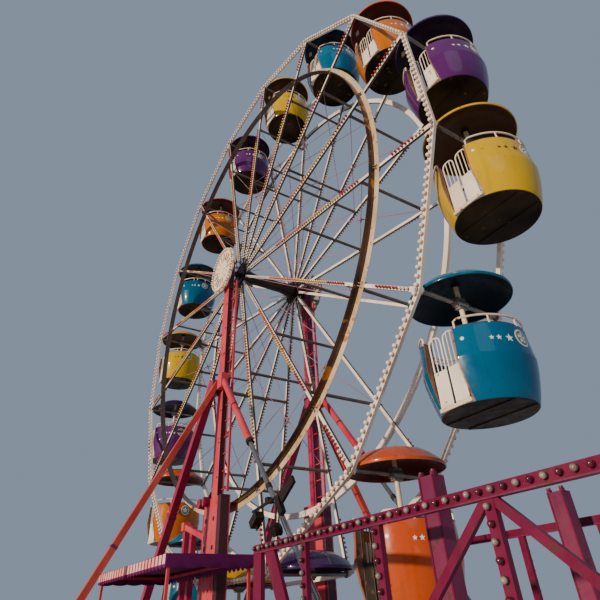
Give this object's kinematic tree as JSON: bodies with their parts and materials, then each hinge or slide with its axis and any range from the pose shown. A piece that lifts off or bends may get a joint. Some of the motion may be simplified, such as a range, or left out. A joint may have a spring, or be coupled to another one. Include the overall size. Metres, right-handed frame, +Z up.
{
  "type": "ferris wheel",
  "caption": "Portable fairground ferris wheel with round hanging tubs, spoked twin frames, drive rings, braced towers and a boarding platform.",
  "frame": {"origin": "on the ground under the wheel centre, on the underside of the middle ground pad", "axes": "+X in the plane of the wheel, to the right as seen from the boarding side; +Y along the wheel axle, away from the boarding side; +Z up"},
  "size_m": [19.5106, 11.34, 19.8906],
  "materials": {
    "tub_yellow": "gloss enamel over moulded shell",
    "tub_purple": "gloss enamel over moulded shell",
    "tub_orange": "gloss enamel over moulded shell",
    "tub_teal": "gloss enamel over moulded shell",
    "white_paint": "worn white enamel with rust at the joints",
    "bronze_ring": "weathered bronze paint",
    "dark_steel": "dark greasy steel",
    "pink_paint": "faded red enamel",
    "magenta_paint": "dark magenta enamel",
    "galvanised": "dull galvanised",
    "sign_cream": "cream enamel",
    "awning_fabric": "dark purple canvas",
    "deck_plate": "worn tread plate"
  },
  "bodies": {
    "base": {"base_frame": "magenta_paint", "front_tower": "pink_paint", "front_tower_foot": "pink_paint", "front_brace_left": "magenta_paint", "front_brace_right": "magenta_paint", "front_outrigger": "magenta_paint", "front_sign_disc": "sign_cream", "rear_tower": "pink_paint", "rear_tower_foot": "pink_paint", "rear_brace_left": "magenta_paint", "rear_brace_right": "magenta_paint", "rear_outrigger": "magenta_paint", "rear_sign_disc": "sign_cream", "front_light_fence": "magenta_paint", "rear_light_fence": "magenta_paint", "loading_platform": "deck_plate", "awning_frame": "galvanised", "awning_cover": "awning_fabric"},
    "wheel": {"wheel_axle": "dark_steel", "front_spokes": "white_paint", "rear_spokes": "white_paint", "front_rim": "white_paint", "rear_rim": "white_paint", "front_drive_ring": "bronze_ring", "rear_drive_ring": "white_paint"},
    "tub_01": {"tub_01_body": "tub_yellow", "tub_01_canopy": "tub_yellow"},
    "tub_02": {"tub_02_body": "tub_purple", "tub_02_canopy": "tub_purple"},
    "tub_03": {"tub_03_body": "tub_orange", "tub_03_canopy": "tub_orange"},
    "tub_04": {"tub_04_body": "tub_teal", "tub_04_canopy": "tub_teal"},
    "tub_05": {"tub_05_body": "tub_yellow", "tub_05_canopy": "tub_yellow"},
    "tub_06": {"tub_06_body": "tub_purple", "tub_06_canopy": "tub_purple"},
    "tub_07": {"tub_07_body": "tub_orange", "tub_07_canopy": "tub_orange"},
    "tub_08": {"tub_08_body": "tub_teal", "tub_08_canopy": "tub_teal"},
    "tub_09": {"tub_09_body": "tub_yellow", "tub_09_canopy": "tub_yellow"},
    "tub_10": {"tub_10_body": "tub_purple", "tub_10_canopy": "tub_purple"},
    "tub_11": {"tub_11_body": "tub_orange", "tub_11_canopy": "tub_orange"},
    "tub_12": {"tub_12_body": "tub_teal", "tub_12_canopy": "tub_teal"},
    "tub_13": {"tub_13_body": "tub_yellow", "tub_13_canopy": "tub_yellow"},
    "tub_14": {"tub_14_body": "tub_purple", "tub_14_canopy": "tub_purple"},
    "tub_14_gate_left": {"tub_14_gate_left": "white_paint"},
    "tub_14_gate_right": {"tub_14_gate_right": "white_paint"},
    "tub_15": {"tub_15_body": "tub_orange", "tub_15_canopy": "tub_orange"},
    "tub_16": {"tub_16_body": "tub_teal", "tub_16_canopy": "tub_teal"}
  },
  "joints": [
    {"name": "wheel_spin", "type": "hinge", "parent": "base", "child": "wheel", "pos_m": [0, 0, 11.1], "axis": [0, 1, 0], "continuous": true},
    {"name": "tub_01_swing", "type": "hinge", "parent": "wheel", "child": "tub_01", "pos_m": [8.36063, 0, 9.56705], "axis": [0, 1, 0], "continuous": true},
    {"name": "tub_02_swing", "type": "hinge", "parent": "wheel", "child": "tub_02", "pos_m": [8.31085, 0, 12.88321], "axis": [0, 1, 0], "continuous": true},
    {"name": "tub_03_swing", "type": "hinge", "parent": "wheel", "child": "tub_03", "pos_m": [6.99582, 0, 15.92789], "axis": [0, 1, 0], "continuous": true},
    {"name": "tub_04_swing", "type": "hinge", "parent": "wheel", "child": "tub_04", "pos_m": [4.61574, 0, 18.23757], "axis": [0, 1, 0], "continuous": true},
    {"name": "tub_05_swing", "type": "hinge", "parent": "wheel", "child": "tub_05", "pos_m": [1.53295, 0, 19.46063], "axis": [0, 1, 0], "continuous": true},
    {"name": "tub_06_swing", "type": "hinge", "parent": "wheel", "child": "tub_06", "pos_m": [-1.78321, 0, 19.41085], "axis": [0, 1, 0], "continuous": true},
    {"name": "tub_07_swing", "type": "hinge", "parent": "wheel", "child": "tub_07", "pos_m": [-4.82789, 0, 18.09582], "axis": [0, 1, 0], "continuous": true},
    {"name": "tub_08_swing", "type": "hinge", "parent": "wheel", "child": "tub_08", "pos_m": [-7.13758, 0, 15.71574], "axis": [0, 1, 0], "continuous": true},
    {"name": "tub_09_swing", "type": "hinge", "parent": "wheel", "child": "tub_09", "pos_m": [-8.36063, 0, 12.63295], "axis": [0, 1, 0], "continuous": true},
    {"name": "tub_10_swing", "type": "hinge", "parent": "wheel", "child": "tub_10", "pos_m": [-8.31085, 0, 9.31679], "axis": [0, 1, 0], "continuous": true},
    {"name": "tub_11_swing", "type": "hinge", "parent": "wheel", "child": "tub_11", "pos_m": [-6.99582, 0, 6.27211], "axis": [0, 1, 0], "continuous": true},
    {"name": "tub_12_swing", "type": "hinge", "parent": "wheel", "child": "tub_12", "pos_m": [-4.61574, 0, 3.96243], "axis": [0, 1, 0], "continuous": true},
    {"name": "tub_13_swing", "type": "hinge", "parent": "wheel", "child": "tub_13", "pos_m": [-1.53295, 0, 2.73937], "axis": [0, 1, 0], "continuous": true},
    {"name": "tub_14_swing", "type": "hinge", "parent": "wheel", "child": "tub_14", "pos_m": [1.78321, 0, 2.78915], "axis": [0, 1, 0], "continuous": true},
    {"name": "tub_14_gate_left_hinge", "type": "hinge", "parent": "tub_14", "child": "tub_14_gate_left", "pos_m": [1.50521, -0.735, 1.48915], "axis": [0, 0, 1], "range_deg": [0, 88]},
    {"name": "tub_14_gate_right_hinge", "type": "hinge", "parent": "tub_14", "child": "tub_14_gate_right", "pos_m": [2.06121, -0.735, 1.48915], "axis": [0, 0, -1], "range_deg": [0, 88]},
    {"name": "tub_15_swing", "type": "hinge", "parent": "wheel", "child": "tub_15", "pos_m": [4.82789, 0, 4.10418], "axis": [0, 1, 0], "continuous": true},
    {"name": "tub_16_swing", "type": "hinge", "parent": "wheel", "child": "tub_16", "pos_m": [7.13758, 0, 6.48426], "axis": [0, 1, 0], "continuous": true}
  ],
  "couplings": [
    {"joint": "tub_01_swing", "follows": "wheel_spin", "ratio": -1},
    {"joint": "tub_02_swing", "follows": "wheel_spin", "ratio": -1},
    {"joint": "tub_03_swing", "follows": "wheel_spin", "ratio": -1},
    {"joint": "tub_04_swing", "follows": "wheel_spin", "ratio": -1},
    {"joint": "tub_05_swing", "follows": "wheel_spin", "ratio": -1},
    {"joint": "tub_06_swing", "follows": "wheel_spin", "ratio": -1},
    {"joint": "tub_07_swing", "follows": "wheel_spin", "ratio": -1},
    {"joint": "tub_08_swing", "follows": "wheel_spin", "ratio": -1},
    {"joint": "tub_09_swing", "follows": "wheel_spin", "ratio": -1},
    {"joint": "tub_10_swing", "follows": "wheel_spin", "ratio": -1},
    {"joint": "tub_11_swing", "follows": "wheel_spin", "ratio": -1},
    {"joint": "tub_12_swing", "follows": "wheel_spin", "ratio": -1},
    {"joint": "tub_13_swing", "follows": "wheel_spin", "ratio": -1},
    {"joint": "tub_14_swing", "follows": "wheel_spin", "ratio": -1},
    {"joint": "tub_15_swing", "follows": "wheel_spin", "ratio": -1},
    {"joint": "tub_16_swing", "follows": "wheel_spin", "ratio": -1}
  ]
}
